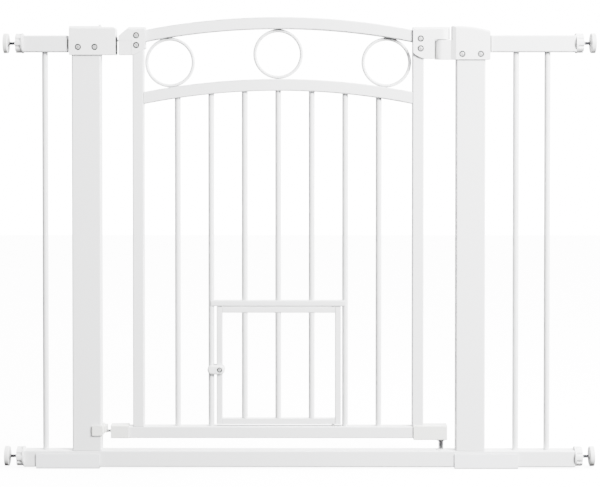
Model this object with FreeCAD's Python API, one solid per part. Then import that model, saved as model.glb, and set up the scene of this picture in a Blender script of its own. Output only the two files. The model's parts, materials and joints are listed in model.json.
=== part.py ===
import FreeCAD, Part
import math
import os

# Pressure-fit safety gate with a lift-and-swing door and a small pet door.
# X runs along the gate, the front faces -Y and Z is up.  The origin is at the
# middle of the gate's length and depth, on the floor.  Units are millimetres.

# Overall sizes
GATE_HEIGHT = 762.0
FRAME_WIDTH = 696.0
LEFT_EXTENSION = 79.5
RIGHT_EXTENSION = 149.5
PAD_REACH = 36.0

# Frame tubes
RAIL_HEIGHT = 28.0
RAIL_DEPTH = 25.0
POST_WIDTH = 49.0
TUBE_WALL = 1.2
TUBE_RADIUS = 2.5
BRACKET_SHEET = 2.5
BRACKET_SIDE = 2.0
BRACKET_HEIGHT = 25.0
BRACKET_LENGTH = 107.0
TOP_RAIL_DROP = 31.0
LEFT_BRACKET_REACH = 61.3
RIGHT_BRACKET_OVERLAP = 51.0
LEFT_JOINT_GAP = 10.3
RIGHT_JOINT_GAP = 12.6
LEFT_BAR_OFFSETS = (46.5,)
RIGHT_BAR_OFFSETS = (52.6, 105.5)

# Door tubes
STILE_WIDTH = 19.0
DOOR_DEPTH = 20.0
DOOR_RAIL_HEIGHT = 20.0
DOOR_FLOOR_GAP = 20.5
DOOR_WALL = 1.2
DOOR_RADIUS = 2.0
LATCH_GAP = 53.0
HINGE_GAP = 54.5
HINGE_OFFSET = 24.0
ARCH_HEIGHT = 20.0
ARCH_RISE = 21.9
ARCH_SPACING = 104.0
RING_WIRE = 5.5
RING_SIDE_GAP = 1.75
BAR_DIAMETER = 10.0
BARS_EACH_SIDE = 3
PET_BARS_EACH_SIDE = 1
HEADER_HEIGHT = 10.0
HEADER_DEPTH = 12.0
HEADER_BOTTOM = 274.0
DOOR_LIFT = 14.0

# Pet door
PET_TUBE = 10.0
PET_BOTTOM_GAP = 3.0
PET_TOP_GAP = 1.1
PET_LATCH_SIDE_GAP = 4.0
PET_HINGE_SIDE_GAP = 2.0
PET_HINGE_INSET = 13.2
PET_PIN_DIAMETER = 5.0
PET_PIN_GRIP = 8.0
PET_LATCH_HEIGHT = 166.5
PET_LATCH_LENGTH = 29.5
PET_LATCH_WIDTH = 16.0
PET_LATCH_PLATE = 5.0
PET_LATCH_DOME = 3.5
PET_SCREW_RECESS = 9.2
PET_SCREW_HEAD = 5.4
PET_SCREW_SHANK = 4.0
PET_LATCH_CLEARANCE = 0.3
PET_LATCH_TAIL = 9.0
PET_RECESS_DEPTH = 2.6
PET_CORNER_RADIUS = 1.5

# Plastic heads
HEAD_WALL = 2.5
HEAD_FACE_WALL = 3.5
HEAD_TOP_DROP = 15.3
HEAD_BEVEL = 4.4
HEAD_HEIGHT = 48.2
HEAD_SIDE_LIP = 4.0
SLIDER_ROOM = 9.2
DOOR_HEAD_DROP = 1.7
STILE_HEAD_GAP = 1.5
LATCH_HEAD_REACH = 23.0
LATCH_HEAD_GAP = 5.0
RIGHT_HEAD_HEIGHT = 56.0
RIGHT_HEAD_SIDE_LIP = 7.5
BUFFER_THICKNESS = 1.0
LEDGE_DEPTH = 0.5
LEDGE_HEIGHT = 24.5
SCREW_HEAD = 6.8
SCREW_HEAD_HEIGHT = 1.7
SCREW_SHANK = 3.6
SCREW_RECESS = 11.0
SCREW_RECESS_DEPTH = 2.7
SCREW_BITE = 2.0
SCREW_SLOT_WIDTH = 1.0
SCREW_SLOT_DEPTH = 1.0
LEFT_SCREW_RISE = 13.0
LEFT_SCREW_OUTER_INSET = 11.0
LEFT_SCREW_INNER_INSET = 10.0
RIGHT_SCREW_RISE = 9.0
RIGHT_SCREW_INNER_INSET = 9.3
RIGHT_SCREW_OUTER_INSET = 8.5
LATCH_SCREW_INSET = 6.6
LATCH_SCREW_DROP = 13.9
HINGE_SCREW_INSET = 5.8
HINGE_SCREW_DROP = 19.5
DOOR_SCREW_PITCH = 16.5

# Hinge line
HINGE_PIN_DIAMETER = 8.5
RUNNING_CLEARANCE = 0.05
HINGE_SWEEP_CLEARANCE = 1.0
HINGE_BODY_GAP = 13.0
WASHER_THICKNESS = 1.3
WASHER_DIAMETER = 16.0
BUSH_WALL = 1.6
BUSH_FLANGE = 1.0
COLLAR_HEIGHT = 3.0
COLLAR_DIAMETER = 12.5
SLEEVE_WALL = 2.0
SLEEVE_DROP = 2.5
SHELF_DROP = 23.5
UPPER_PIN_DEPTH = 21.0
UPPER_PIN_COVER = 4.0
LOWER_PIN_COVER = 2.0
PIN_END_GAP = 0.5
RAIL_PIN_GAP = 4.5
HINGE_SLEEVE_REACH = 9.4
SLEEVE_STILE_INSET = 2.5

# Lock slider
LOCK_TRAVEL = 8.0
NOSE_HEIGHT = 3.0
NOSE_WIDTH = 7.0
NOSE_REACH = 5.5
SLIDER_CLEARANCE = 0.3
SPRING_DIAMETER = 5.0
SPRING_WIRE = 0.8
SPRING_CLOSED_LENGTH = 12.0
NOSE_RISE = 24.2
TAB_WIDTH = 4.2
TAB_HALF_DEPTH = 6.0
TAB_RISE = 2.8
TAB_INSET = 4.0
LOWER_LIP = 1.6
PLATE_CLEARANCE = 0.6
PLATE_THICKNESS = 5.2
PLATE_HALF_DEPTH = 9.0

# Bottom catch
CATCH_WALL = 3.0
CATCH_HEIGHT = 16.0
CATCH_WRAP = 16.0
CUP_REACH = 6.0
CUP_HEIGHT = 13.5
CUP_WIDTH = 14.0
LATCH_PIN_DIAMETER = 5.0
LATCH_PIN_CLEARANCE = 0.3
LATCH_PIN_RISE = 1.0
LATCH_PIN_BITE = 22.0
LATCH_SLEEVE_GAP = 7.5
LATCH_SLEEVE_LENGTH = 30.0
LATCH_TONGUE = 20.0
CATCH_BELOW_PIN = 5.5

# Pressure spindles
SPINDLE_DIAMETER = 6.0
PAD_DIAMETER = 33.5
PAD_THICKNESS = 7.5
NUT_DIAMETER = 32.5
NUT_LENGTH = 10.0
NUT_FLANGE = 2.5
NUT_SCALLOPS = 8
SCALLOP_RADIUS = 3.6
CAP_FLANGE = 3.0
CAP_TENON = 15.0
SPINDLE_INSIDE = 29.5
SPINDLE_CLEARANCE = 0.25
PAD_SOCKET_DEPTH = 3.0
PAD_HUB_LENGTH = 1.5
PAD_HUB_WALL = 2.0
NUT_RIM_LIP = 0.6
UPPER_SPINDLE_RISE = 1.0
LOWER_SPINDLE_RISE = 2.5
PLUG_FLANGE = 3.0
PLUG_TENON = 20.0
PLUG_NECK_INSET = 7.0

# Positions worked out from the sizes above
TOTAL_WIDTH = 2 * PAD_REACH + LEFT_EXTENSION + FRAME_WIDTH + RIGHT_EXTENSION
LEFT_RAIL_END = PAD_REACH - TOTAL_WIDTH / 2
RIGHT_RAIL_END = TOTAL_WIDTH / 2 - PAD_REACH
FRAME_LEFT = LEFT_RAIL_END + LEFT_EXTENSION
FRAME_RIGHT = RIGHT_RAIL_END - RIGHT_EXTENSION
LEFT_POST_INNER = FRAME_LEFT + POST_WIDTH
RIGHT_POST_INNER = FRAME_RIGHT - POST_WIDTH
BAR_BOTTOM = BRACKET_SHEET
BAR_TOP = BAR_BOTTOM + RAIL_HEIGHT
TOP_RAIL_TOP = GATE_HEIGHT - TOP_RAIL_DROP
TOP_RAIL_MID = TOP_RAIL_TOP - RAIL_HEIGHT / 2
HEAD_TOP = GATE_HEIGHT - HEAD_TOP_DROP
POST_TOP = HEAD_TOP - HEAD_WALL - SLIDER_ROOM
HALF_POST = RAIL_DEPTH / 2
HALF_POST_HEAD = HALF_POST + HEAD_FACE_WALL
HALF_DOOR = DOOR_DEPTH / 2
HALF_DOOR_HEAD = HALF_DOOR + HEAD_FACE_WALL

DOOR_LEFT = LEFT_POST_INNER + LATCH_GAP
DOOR_RIGHT = RIGHT_POST_INNER - HINGE_GAP
DOOR_MIDDLE = (DOOR_LEFT + DOOR_RIGHT) / 2
LEFT_STILE_INNER = DOOR_LEFT + STILE_WIDTH
RIGHT_STILE_INNER = DOOR_RIGHT - STILE_WIDTH
DOOR_CLEAR = RIGHT_STILE_INNER - LEFT_STILE_INNER
BAR_PITCH = DOOR_CLEAR / (2 * BARS_EACH_SIDE + 2)
PET_FRAME_BAR = PET_BARS_EACH_SIDE + 1
ARCH_RADIUS = ((DOOR_CLEAR / 2) ** 2 + ARCH_RISE ** 2) / (2 * ARCH_RISE)
RING_DIAMETER = ARCH_SPACING - ARCH_HEIGHT
RING_OFFSET = DOOR_CLEAR / 2 - RING_DIAMETER / 2 - RING_SIDE_GAP
HINGE_X = RIGHT_POST_INNER - HINGE_OFFSET
DOOR_BOTTOM = BAR_TOP + DOOR_FLOOR_GAP
DOOR_RAIL_TOP = DOOR_BOTTOM + DOOR_RAIL_HEIGHT
DOOR_RAIL_MID = DOOR_BOTTOM + DOOR_RAIL_HEIGHT / 2
HEADER_TOP = HEADER_BOTTOM + HEADER_HEIGHT

HEAD_BOTTOM = HEAD_TOP - HEAD_HEIGHT
DOOR_HEAD_TOP = HEAD_TOP - DOOR_HEAD_DROP
STILE_TOP = DOOR_HEAD_TOP - HEAD_WALL - STILE_HEAD_GAP
LEFT_HEAD_LEFT = FRAME_LEFT - HEAD_SIDE_LIP
LATCH_HEAD_LEFT = DOOR_LEFT - LATCH_HEAD_REACH
LATCH_HEAD_RIGHT = LEFT_STILE_INNER + HEAD_WALL
LEFT_HEAD_RIGHT = LATCH_HEAD_LEFT - LATCH_HEAD_GAP
NOSE_MID = HEAD_BOTTOM + NOSE_RISE

SHELF_TOP = HEAD_TOP - SHELF_DROP
ARM_BOTTOM = SHELF_TOP + WASHER_THICKNESS
HINGE_PIN_RADIUS = HINGE_PIN_DIAMETER / 2
HINGE_BORE_RADIUS = HINGE_PIN_RADIUS + RUNNING_CLEARANCE
SHELF_RADIUS = HINGE_BODY_GAP - HINGE_SWEEP_CLEARANCE
RIGHT_HEAD_BOTTOM = HEAD_TOP - RIGHT_HEAD_HEIGHT
RIGHT_HEAD_RIGHT = FRAME_RIGHT + RIGHT_HEAD_SIDE_LIP

PET_LEFT = DOOR_MIDDLE - PET_FRAME_BAR * BAR_PITCH + BAR_DIAMETER / 2 + PET_LATCH_SIDE_GAP
PET_RIGHT = DOOR_MIDDLE + PET_FRAME_BAR * BAR_PITCH - BAR_DIAMETER / 2 - PET_HINGE_SIDE_GAP
PET_BOTTOM = DOOR_RAIL_TOP + PET_BOTTOM_GAP
PET_TOP = HEADER_BOTTOM - PET_TOP_GAP
PET_HINGE_X = PET_RIGHT - PET_HINGE_INSET
PET_PIVOT_X = PET_LEFT + PET_TUBE / 2
PET_SCREW_RADIUS = PET_SCREW_SHANK / 2
PET_PLATE_INNER = PET_TUBE / 2 + PET_LATCH_CLEARANCE
PET_PLATE_OUTER = PET_PLATE_INNER + PET_LATCH_PLATE

TAB_LEFT = LEFT_POST_INNER - TAB_WIDTH
TAB_TOP = HEAD_TOP + TAB_RISE
NOSE_SLOT_HALF = NOSE_WIDTH / 2 + SLIDER_CLEARANCE
PLATE_LEFT = TAB_LEFT - TAB_INSET
PLATE_RIGHT = LEFT_HEAD_RIGHT - HEAD_WALL - 1.0
PLATE_BOTTOM = POST_TOP + PLATE_CLEARANCE
PLATE_TOP = PLATE_BOTTOM + PLATE_THICKNESS
SPRING_STOP_X = PLATE_LEFT - SPRING_CLOSED_LENGTH - LOCK_TRAVEL

LATCH_PIN_Z = DOOR_RAIL_MID + LATCH_PIN_RISE
CATCH_BOTTOM = LATCH_PIN_Z - CATCH_BELOW_PIN
CUP_TOP = LATCH_PIN_Z - LATCH_PIN_DIAMETER / 2 + DOOR_LIFT - 0.5
LATCH_SLEEVE_RIGHT = DOOR_LEFT - LATCH_SLEEVE_GAP
LATCH_SLEEVE_LEFT = LATCH_SLEEVE_RIGHT - LATCH_SLEEVE_LENGTH
LATCH_PIN_INNER = LATCH_SLEEVE_LEFT + LATCH_PIN_BITE

LEFT_BRACKET_X = FRAME_LEFT - LEFT_BRACKET_REACH
RIGHT_BRACKET_X = FRAME_RIGHT - RIGHT_BRACKET_OVERLAP
LEFT_JOINT = FRAME_LEFT - LEFT_JOINT_GAP
RIGHT_JOINT = FRAME_RIGHT + RIGHT_JOINT_GAP
LOWER_BAR_LEFT = LEFT_JOINT + PLUG_FLANGE
LOWER_BAR_RIGHT = RIGHT_JOINT - PLUG_FLANGE

UPPER_PIN_BOTTOM = SHELF_TOP - UPPER_PIN_DEPTH
UPPER_PIN_TOP = DOOR_HEAD_TOP - UPPER_PIN_COVER
SLEEVE_BOTTOM = DOOR_BOTTOM - SLEEVE_DROP
LOWER_PIN_TOP = DOOR_RAIL_TOP - LOWER_PIN_COVER
DOOR_RAIL_RIGHT = HINGE_X - HINGE_PIN_RADIUS - RAIL_PIN_GAP
HINGE_SLEEVE_LEFT = RIGHT_STILE_INNER + SLEEVE_STILE_INSET
HINGE_SLEEVE_RIGHT = HINGE_X + HINGE_SLEEVE_REACH
SPINDLE_BORE_RADIUS = SPINDLE_DIAMETER / 2 + SPINDLE_CLEARANCE

UPPER_SPINDLE_Z = TOP_RAIL_MID + UPPER_SPINDLE_RISE
LOWER_SPINDLE_Z = BAR_BOTTOM + RAIL_HEIGHT / 2 + LOWER_SPINDLE_RISE


def vec(x, y, z):
    return FreeCAD.Vector(x, y, z)


def block(x0, x1, y0, y1, z0, z1):
    return Part.makeBox(x1 - x0, y1 - y0, z1 - z0, vec(x0, y0, z0))


def rod(radius, start, end):
    direction = end - start
    return Part.makeCylinder(radius, direction.Length, start, direction)


def rod_x(radius, x0, x1, y, z):
    return rod(radius, vec(x0, y, z), vec(x1, y, z))


def rod_y(radius, x, y0, y1, z):
    return rod(radius, vec(x, y0, z), vec(x, y1, z))


def rod_z(radius, x, y, z0, z1):
    return rod(radius, vec(x, y, z0), vec(x, y, z1))


def edges_along(shape, axis):
    found = []
    for edge in shape.Edges:
        if isinstance(edge.Curve, Part.Line):
            direction = edge.tangentAt(edge.FirstParameter)
            if abs(direction.dot(axis)) > 0.999:
                found.append(edge)
    return found


def soften(shape, axis, radius):
    return shape.makeFillet(radius, edges_along(shape, axis))


def round_corner(shape, x, z, radius):
    """Round the edge that runs along Y through the point x, z."""
    picked = []
    for edge in edges_along(shape, vec(0, 1, 0)):
        middle = edge.CenterOfMass
        if abs(middle.x - x) < 0.01 and abs(middle.z - z) < 0.01:
            picked.append(edge)
    return shape.makeFillet(radius, picked)


def tube_x(x0, x1, z0, z1, depth, wall, radius):
    outer = soften(block(x0, x1, -depth / 2, depth / 2, z0, z1), vec(1, 0, 0), radius)
    half = depth / 2 - wall
    inner = soften(block(x0 - 1, x1 + 1, -half, half, z0 + wall, z1 - wall), vec(1, 0, 0), radius - wall)
    return outer.cut(inner)


def bar_section_z(x0, x1, z0, z1, depth, radius):
    return soften(block(x0, x1, -depth / 2, depth / 2, z0, z1), vec(0, 0, 1), radius)


def tube_z(x0, x1, z0, z1, depth, wall, radius):
    outer = bar_section_z(x0, x1, z0, z1, depth, radius)
    inner = bar_section_z(x0 + wall, x1 - wall, z0 - 1, z1 + 1, depth - 2 * wall, radius - wall)
    return outer.cut(inner)


def outline(points):
    """Flat face in the XZ plane through the points."""
    corners = [vec(x, 0, z) for x, z in points]
    return Part.Face(Part.makePolygon(corners + [corners[0]]))


def prism(face, half_depth):
    placed = face.copy()
    placed.translate(vec(0, -half_depth, 0))
    return placed.extrude(vec(0, 2 * half_depth, 0))


def front_half(shape):
    box = shape.BoundBox
    return shape.common(block(box.XMin - 1, box.XMax + 1, box.YMin - 1, 0, box.ZMin - 1, box.ZMax + 1))


def rear_half(shape):
    box = shape.BoundBox
    return shape.common(block(box.XMin - 1, box.XMax + 1, 0, box.YMax + 1, box.ZMin - 1, box.ZMax + 1))


def bevel_top(shape, half_depth, top, bevel):
    """Bevel the front and rear top edges at 45 degrees."""
    box = shape.BoundBox
    low = box.ZMin - 1
    side = [
        (-half_depth, low),
        (-half_depth, top - bevel),
        (-half_depth + bevel, top),
        (half_depth - bevel, top),
        (half_depth, top - bevel),
        (half_depth, low),
    ]
    corners = [vec(box.XMin - 1, y, z) for y, z in side]
    face = Part.Face(Part.makePolygon(corners + [corners[0]]))
    return shape.common(face.extrude(vec(box.XLength + 2, 0, 0)))


def compound(shapes):
    return Part.makeCompound(shapes)


# Screws that hold the plastic heads: (x, z) of each axis
LEFT_HEAD_SCREWS = [
    (FRAME_LEFT + LEFT_SCREW_OUTER_INSET, HEAD_BOTTOM + LEFT_SCREW_RISE),
    (LEFT_POST_INNER - LEFT_SCREW_INNER_INSET, HEAD_BOTTOM + LEFT_SCREW_RISE),
]
RIGHT_HEAD_SCREWS = [
    (RIGHT_POST_INNER + RIGHT_SCREW_INNER_INSET, RIGHT_HEAD_BOTTOM + RIGHT_SCREW_RISE),
    (FRAME_RIGHT - RIGHT_SCREW_OUTER_INSET, RIGHT_HEAD_BOTTOM + RIGHT_SCREW_RISE),
]
LATCH_HEAD_SCREWS = [
    (DOOR_LEFT + LATCH_SCREW_INSET, DOOR_HEAD_TOP - LATCH_SCREW_DROP),
    (DOOR_LEFT + LATCH_SCREW_INSET, DOOR_HEAD_TOP - LATCH_SCREW_DROP - DOOR_SCREW_PITCH),
]
HINGE_HEAD_SCREWS = [
    (DOOR_RIGHT - HINGE_SCREW_INSET, DOOR_HEAD_TOP - HINGE_SCREW_DROP),
    (DOOR_RIGHT - HINGE_SCREW_INSET, DOOR_HEAD_TOP - HINGE_SCREW_DROP - DOOR_SCREW_PITCH),
]


def cross_slot(x, z, head_start, head_diameter):
    """Cross-shaped cutter for the driver slot of a screw head."""
    arm = head_diameter * 0.28
    half = SCREW_SLOT_WIDTH / 2
    depth = head_start + SCREW_SLOT_DEPTH
    cross = block(x - arm, x + arm, head_start - 1, depth, z - half, z + half)
    return cross.fuse(block(x - half, x + half, head_start - 1, depth, z - arm, z + arm))


def screw(x, z, face):
    """Pan-head screw with a cross slot, driven from a front face at -face."""
    head_end = -face + SCREW_RECESS_DEPTH
    head_start = head_end - SCREW_HEAD_HEIGHT
    body = rod_y(SCREW_HEAD / 2, x, head_start, head_end, z)
    body = body.fuse(rod_y(SCREW_SHANK / 2, x, head_end, face - HEAD_FACE_WALL + SCREW_BITE, z))
    return body.cut(cross_slot(x, z, head_start, SCREW_HEAD))


def drill_for_screws(shape, screws, face):
    for x, z in screws:
        recess = rod_y(SCREW_RECESS / 2, x, -face - 1, -face + SCREW_RECESS_DEPTH, z)
        hole = rod_y(SCREW_SHANK / 2, x, -face, face - HEAD_FACE_WALL + SCREW_BITE, z)
        shape = shape.cut(recess.fuse(hole))
    return shape


def drill_tube(shape, screws, half_depth):
    for x, z in screws:
        shape = shape.cut(rod_y(SCREW_SHANK / 2, x, -half_depth - 1, half_depth + 1, z))
    return shape


def bottom_bar():
    bar = tube_x(LOWER_BAR_LEFT, LOWER_BAR_RIGHT, BAR_BOTTOM, BAR_TOP, RAIL_DEPTH, TUBE_WALL, TUBE_RADIUS)
    return bar.cut(rod_z(HINGE_BORE_RADIUS + BUSH_WALL, HINGE_X, 0, BAR_TOP - 2 * TUBE_WALL, BAR_TOP + 1))


def left_post():
    post = tube_z(FRAME_LEFT, LEFT_POST_INNER, BAR_TOP, POST_TOP, RAIL_DEPTH, TUBE_WALL, TUBE_RADIUS)
    return drill_tube(post, LEFT_HEAD_SCREWS, HALF_POST)


def right_post():
    post = tube_z(RIGHT_POST_INNER, FRAME_RIGHT, BAR_TOP, POST_TOP, RAIL_DEPTH, TUBE_WALL, TUBE_RADIUS)
    return drill_tube(post, RIGHT_HEAD_SCREWS, HALF_POST)


def left_post_head():
    lower_top = HEAD_TOP - LOWER_LIP
    step_x = TAB_LEFT + TAB_WIDTH
    points = [
        (LEFT_HEAD_LEFT, HEAD_BOTTOM),
        (LEFT_HEAD_RIGHT, HEAD_BOTTOM),
        (LEFT_HEAD_RIGHT, lower_top),
        (step_x, lower_top),
        (step_x, HEAD_TOP),
        (LEFT_HEAD_LEFT, HEAD_TOP),
    ]
    core = round_corner(prism(outline(points), HALF_POST_HEAD), LEFT_HEAD_RIGHT, lower_top, 5.0)
    core = bevel_top(core, HALF_POST_HEAD, HEAD_TOP, HEAD_BEVEL)
    cavity = block(
        LEFT_HEAD_LEFT + HEAD_WALL, LEFT_HEAD_RIGHT - HEAD_WALL,
        -HALF_POST, HALF_POST,
        HEAD_BOTTOM + HEAD_WALL, lower_top - HEAD_WALL,
    )
    post = bar_section_z(FRAME_LEFT, LEFT_POST_INNER, BAR_TOP, POST_TOP, RAIL_DEPTH, TUBE_RADIUS)
    nose_slot = block(
        LEFT_HEAD_RIGHT - 2 * HEAD_WALL, LEFT_HEAD_RIGHT + 1,
        -NOSE_SLOT_HALF, NOSE_SLOT_HALF,
        NOSE_MID - NOSE_HEIGHT / 2 - SLIDER_CLEARANCE, NOSE_MID + NOSE_HEIGHT / 2 + SLIDER_CLEARANCE,
    )
    tab_slot = block(
        TAB_LEFT - LOCK_TRAVEL - SLIDER_CLEARANCE, TAB_LEFT + TAB_WIDTH + SLIDER_CLEARANCE,
        -TAB_HALF_DEPTH - SLIDER_CLEARANCE, TAB_HALF_DEPTH + SLIDER_CLEARANCE,
        lower_top - 2 * HEAD_WALL, HEAD_TOP + 1,
    )
    spring_stop = block(
        SPRING_STOP_X - HEAD_WALL, SPRING_STOP_X,
        -HALF_POST, HALF_POST,
        POST_TOP, lower_top - HEAD_WALL,
    )
    head = core.cut(cavity).fuse(spring_stop)
    head = head.cut(post).cut(nose_slot).cut(tab_slot).cut(upper_plug(-1))
    return drill_for_screws(head, LEFT_HEAD_SCREWS, HALF_POST_HEAD)


def closing_buffer():
    """Rubber strip on the closing face of the left post head, open around the nose."""
    half = HALF_POST_HEAD - 3.0
    top = DOOR_HEAD_TOP - 16.0
    strip = block(LEFT_HEAD_RIGHT, LEFT_HEAD_RIGHT + BUFFER_THICKNESS, -half, half, HEAD_BOTTOM + 1.5, top)
    strip = soften(strip, vec(1, 0, 0), 1.5)
    margin = 1.5
    window = block(
        LEFT_HEAD_RIGHT - 1, LEFT_HEAD_RIGHT + BUFFER_THICKNESS + 1,
        -NOSE_SLOT_HALF - margin, NOSE_SLOT_HALF + margin,
        NOSE_MID - NOSE_HEIGHT / 2 - margin, NOSE_MID + NOSE_HEIGHT / 2 + margin,
    )
    return strip.cut(window)


def lock_slider():
    plate = block(PLATE_LEFT, PLATE_RIGHT, -PLATE_HALF_DEPTH, PLATE_HALF_DEPTH, PLATE_BOTTOM, PLATE_TOP)
    web_left = LEFT_POST_INNER + LOCK_TRAVEL + 1.0
    web = block(
        web_left, PLATE_RIGHT,
        -NOSE_WIDTH / 2 - 1.5, NOSE_WIDTH / 2 + 1.5,
        NOSE_MID - NOSE_HEIGHT / 2 - 2.0, PLATE_BOTTOM,
    )
    nose = block(
        PLATE_RIGHT, LATCH_HEAD_LEFT + NOSE_REACH,
        -NOSE_WIDTH / 2, NOSE_WIDTH / 2,
        NOSE_MID - NOSE_HEIGHT / 2, NOSE_MID + NOSE_HEIGHT / 2,
    )
    tab_points = [
        (TAB_LEFT, PLATE_TOP),
        (TAB_LEFT + TAB_WIDTH, PLATE_TOP),
        (TAB_LEFT + TAB_WIDTH, HEAD_TOP),
        (TAB_LEFT + TAB_WIDTH - 1.8, TAB_TOP),
        (TAB_LEFT + 0.6, TAB_TOP),
        (TAB_LEFT, TAB_TOP - 0.6),
    ]
    tab = prism(outline(tab_points), TAB_HALF_DEPTH)
    return plate.fuse([web, nose, tab]).removeSplitter()


def lock_spring():
    middle = (PLATE_BOTTOM + PLATE_TOP) / 2
    left = PLATE_LEFT - SPRING_CLOSED_LENGTH
    outer = rod_x(SPRING_DIAMETER / 2, left, PLATE_LEFT, 0, middle)
    return outer.cut(rod_x(SPRING_DIAMETER / 2 - SPRING_WIRE, left - 1, PLATE_LEFT + 1, 0, middle))


def shelf_plan(bottom, top):
    """Narrow rounded shelf around the hinge axis that widens towards the right post."""
    narrow_end = HINGE_X + HALF_DOOR_HEAD + HINGE_SWEEP_CLEARANCE
    wide_start = RIGHT_POST_INNER - 1.0
    drum = rod_z(SHELF_RADIUS, HINGE_X, 0, bottom, top)
    points = [
        (HINGE_X, -SHELF_RADIUS),
        (narrow_end, -SHELF_RADIUS),
        (wide_start, -HALF_POST_HEAD),
        (RIGHT_HEAD_RIGHT, -HALF_POST_HEAD),
        (RIGHT_HEAD_RIGHT, HALF_POST_HEAD),
        (wide_start, HALF_POST_HEAD),
        (narrow_end, SHELF_RADIUS),
        (HINGE_X, SHELF_RADIUS),
    ]
    corners = [vec(x, y, bottom) for x, y in points]
    plan = Part.Face(Part.makePolygon(corners + [corners[0]])).extrude(vec(0, 0, top - bottom))
    return drum.fuse(plan).removeSplitter()


def right_post_head():
    shelf_left = HINGE_X - SHELF_RADIUS
    block_left = HINGE_X + HALF_DOOR_HEAD + 3.7
    low_right = HEAD_TOP - 8.0
    edges = [
        Part.makeLine(vec(shelf_left, 0, RIGHT_HEAD_BOTTOM), vec(RIGHT_HEAD_RIGHT, 0, RIGHT_HEAD_BOTTOM)),
        Part.makeLine(vec(RIGHT_HEAD_RIGHT, 0, RIGHT_HEAD_BOTTOM), vec(RIGHT_HEAD_RIGHT, 0, low_right)),
        Part.Arc(
            vec(RIGHT_HEAD_RIGHT, 0, low_right),
            vec((RIGHT_HEAD_RIGHT + block_left) / 2 + 2, 0, HEAD_TOP - 1.9),
            vec(block_left, 0, HEAD_TOP),
        ).toShape(),
        Part.makeLine(vec(block_left, 0, HEAD_TOP), vec(block_left, 0, SHELF_TOP)),
        Part.makeLine(vec(block_left, 0, SHELF_TOP), vec(shelf_left, 0, SHELF_TOP)),
        Part.makeLine(vec(shelf_left, 0, SHELF_TOP), vec(shelf_left, 0, RIGHT_HEAD_BOTTOM)),
    ]
    core = prism(Part.Face(Part.Wire(edges)), HALF_POST_HEAD)
    core = core.common(shelf_plan(RIGHT_HEAD_BOTTOM - 1, HEAD_TOP + 1))
    core = fillet_curved_top(core)
    cavity = block(
        block_left + HEAD_WALL, RIGHT_HEAD_RIGHT - HEAD_WALL,
        -HALF_POST, HALF_POST,
        RIGHT_HEAD_BOTTOM + HEAD_WALL, POST_TOP + 0.5,
    )
    post = bar_section_z(RIGHT_POST_INNER, FRAME_RIGHT, BAR_TOP, POST_TOP, RAIL_DEPTH, TUBE_RADIUS)
    bore = rod_z(HINGE_BORE_RADIUS, HINGE_X, 0, UPPER_PIN_BOTTOM - 2.0, SHELF_TOP + 1)
    head = core.cut(cavity).cut(post).cut(bore).cut(upper_plug(1))
    return drill_for_screws(head, RIGHT_HEAD_SCREWS, HALF_POST_HEAD)


def fillet_curved_top(core):
    picked = []
    for edge in core.Edges:
        if isinstance(edge.Curve, Part.Circle) and edge.BoundBox.ZMax > SHELF_TOP + 5:
            if edge.Curve.Radius > 50 and edge.BoundBox.YLength < 0.01:
                picked.append(edge)
    return core.makeFillet(HEAD_BEVEL - 0.4, picked)


def post_head_screws():
    return compound([screw(x, z, HALF_POST_HEAD) for x, z in LEFT_HEAD_SCREWS + RIGHT_HEAD_SCREWS])


def bottom_catch():
    right = LEFT_POST_INNER + CATCH_WALL
    half = HALF_POST + CATCH_WALL
    left = LEFT_POST_INNER - CATCH_WRAP
    wrap = block(left, right, -half, half, CATCH_BOTTOM, CATCH_BOTTOM + CATCH_HEIGHT)
    wrap = soften(wrap, vec(0, 0, 1), 1.2)
    post = bar_section_z(FRAME_LEFT, LEFT_POST_INNER, BAR_TOP, POST_TOP, RAIL_DEPTH, TUBE_RADIUS)
    cup_bottom = CUP_TOP - CUP_HEIGHT
    cup = block(right - 1, right + CUP_REACH, -CUP_WIDTH / 2, CUP_WIDTH / 2, cup_bottom, CUP_TOP)
    cup = soften(cup, vec(1, 0, 0), 3.0)
    half_slot = LATCH_PIN_DIAMETER / 2 + LATCH_PIN_CLEARANCE
    slot = rod_x(half_slot, right + 1, right + CUP_REACH + 1, 0, LATCH_PIN_Z)
    slot = slot.fuse(block(right + 1, right + CUP_REACH + 1, -half_slot, half_slot, LATCH_PIN_Z, CUP_TOP + 1))
    return wrap.cut(post).fuse(cup).removeSplitter().cut(slot)


def lower_hinge_bush():
    outer_radius = HINGE_BORE_RADIUS + BUSH_WALL
    bottom = BAR_BOTTOM + TUBE_WALL
    outer = rod_z(outer_radius, HINGE_X, 0, bottom, BAR_TOP)
    flange = rod_z(outer_radius + 2.0, HINGE_X, 0, BAR_TOP, BAR_TOP + BUSH_FLANGE)
    bore = rod_z(HINGE_BORE_RADIUS, HINGE_X, 0, bottom + 2.0, BAR_TOP + BUSH_FLANGE + 1)
    return outer.fuse(flange).removeSplitter().cut(bore)


def joint_bracket(left):
    half = HALF_POST + BRACKET_SIDE
    right = left + BRACKET_LENGTH
    shell = soften(block(left, right, -half, half, 0, BRACKET_HEIGHT + 5), vec(1, 0, 0), BRACKET_SIDE)
    shell = shell.common(block(left, right, -half, half, 0, BRACKET_HEIGHT))
    channel = soften(
        block(left - 1, right + 1, -HALF_POST, HALF_POST, BAR_BOTTOM, BAR_TOP + 10),
        vec(1, 0, 0), TUBE_RADIUS,
    )
    return shell.cut(channel)


def joint_brackets():
    return compound([joint_bracket(LEFT_BRACKET_X), joint_bracket(RIGHT_BRACKET_X)])


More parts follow.
